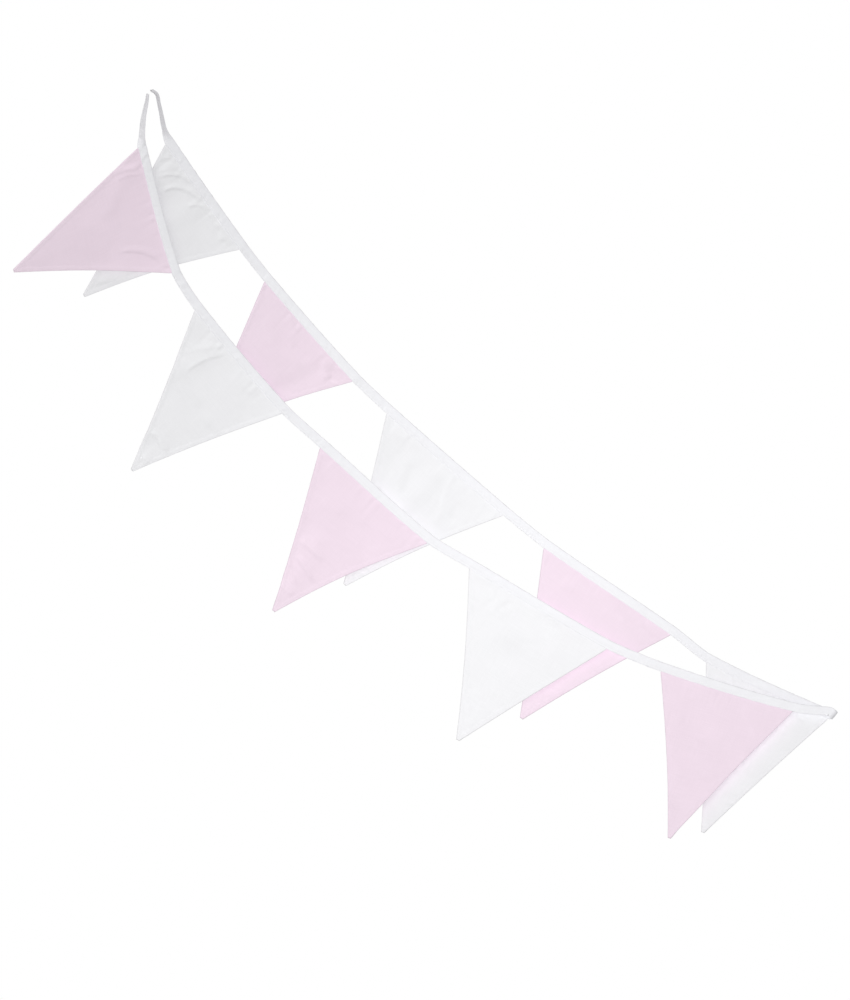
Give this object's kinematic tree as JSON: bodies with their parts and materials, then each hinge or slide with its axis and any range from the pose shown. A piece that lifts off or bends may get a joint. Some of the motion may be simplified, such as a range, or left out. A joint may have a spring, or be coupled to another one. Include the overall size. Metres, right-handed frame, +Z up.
{
  "type": "bunting",
  "caption": "String of triangular cloth flags, pale pink and white in turn, on a folded white binding; hung doubled, tie ends at one side and its middle fold at the other.",
  "frame": {"origin": "the point where the two tie ends of the binding meet on their hook", "axes": "+X level from the tie hook towards the hook at the fold, +Z up, +Y away from the viewer's side; the flags hang down"},
  "size_m": [1.202, 0.2805, 0.42],
  "materials": {
    "white_binding": "white cotton tape, matt, fine weave",
    "white_cotton": "white cotton, matt, plain weave",
    "pink_cotton": "pale pink cotton, matt, plain weave"
  },
  "bodies": {
    "root": {"binding": "white_binding", "flag_01": "pink_cotton", "flag_02": "white_cotton", "flag_03": "pink_cotton", "flag_04": "white_cotton", "flag_05": "pink_cotton", "flag_06": "white_cotton", "flag_07": "pink_cotton", "flag_08": "white_cotton", "flag_09": "pink_cotton", "flag_10": "white_cotton"}
  },
  "joints": []
}
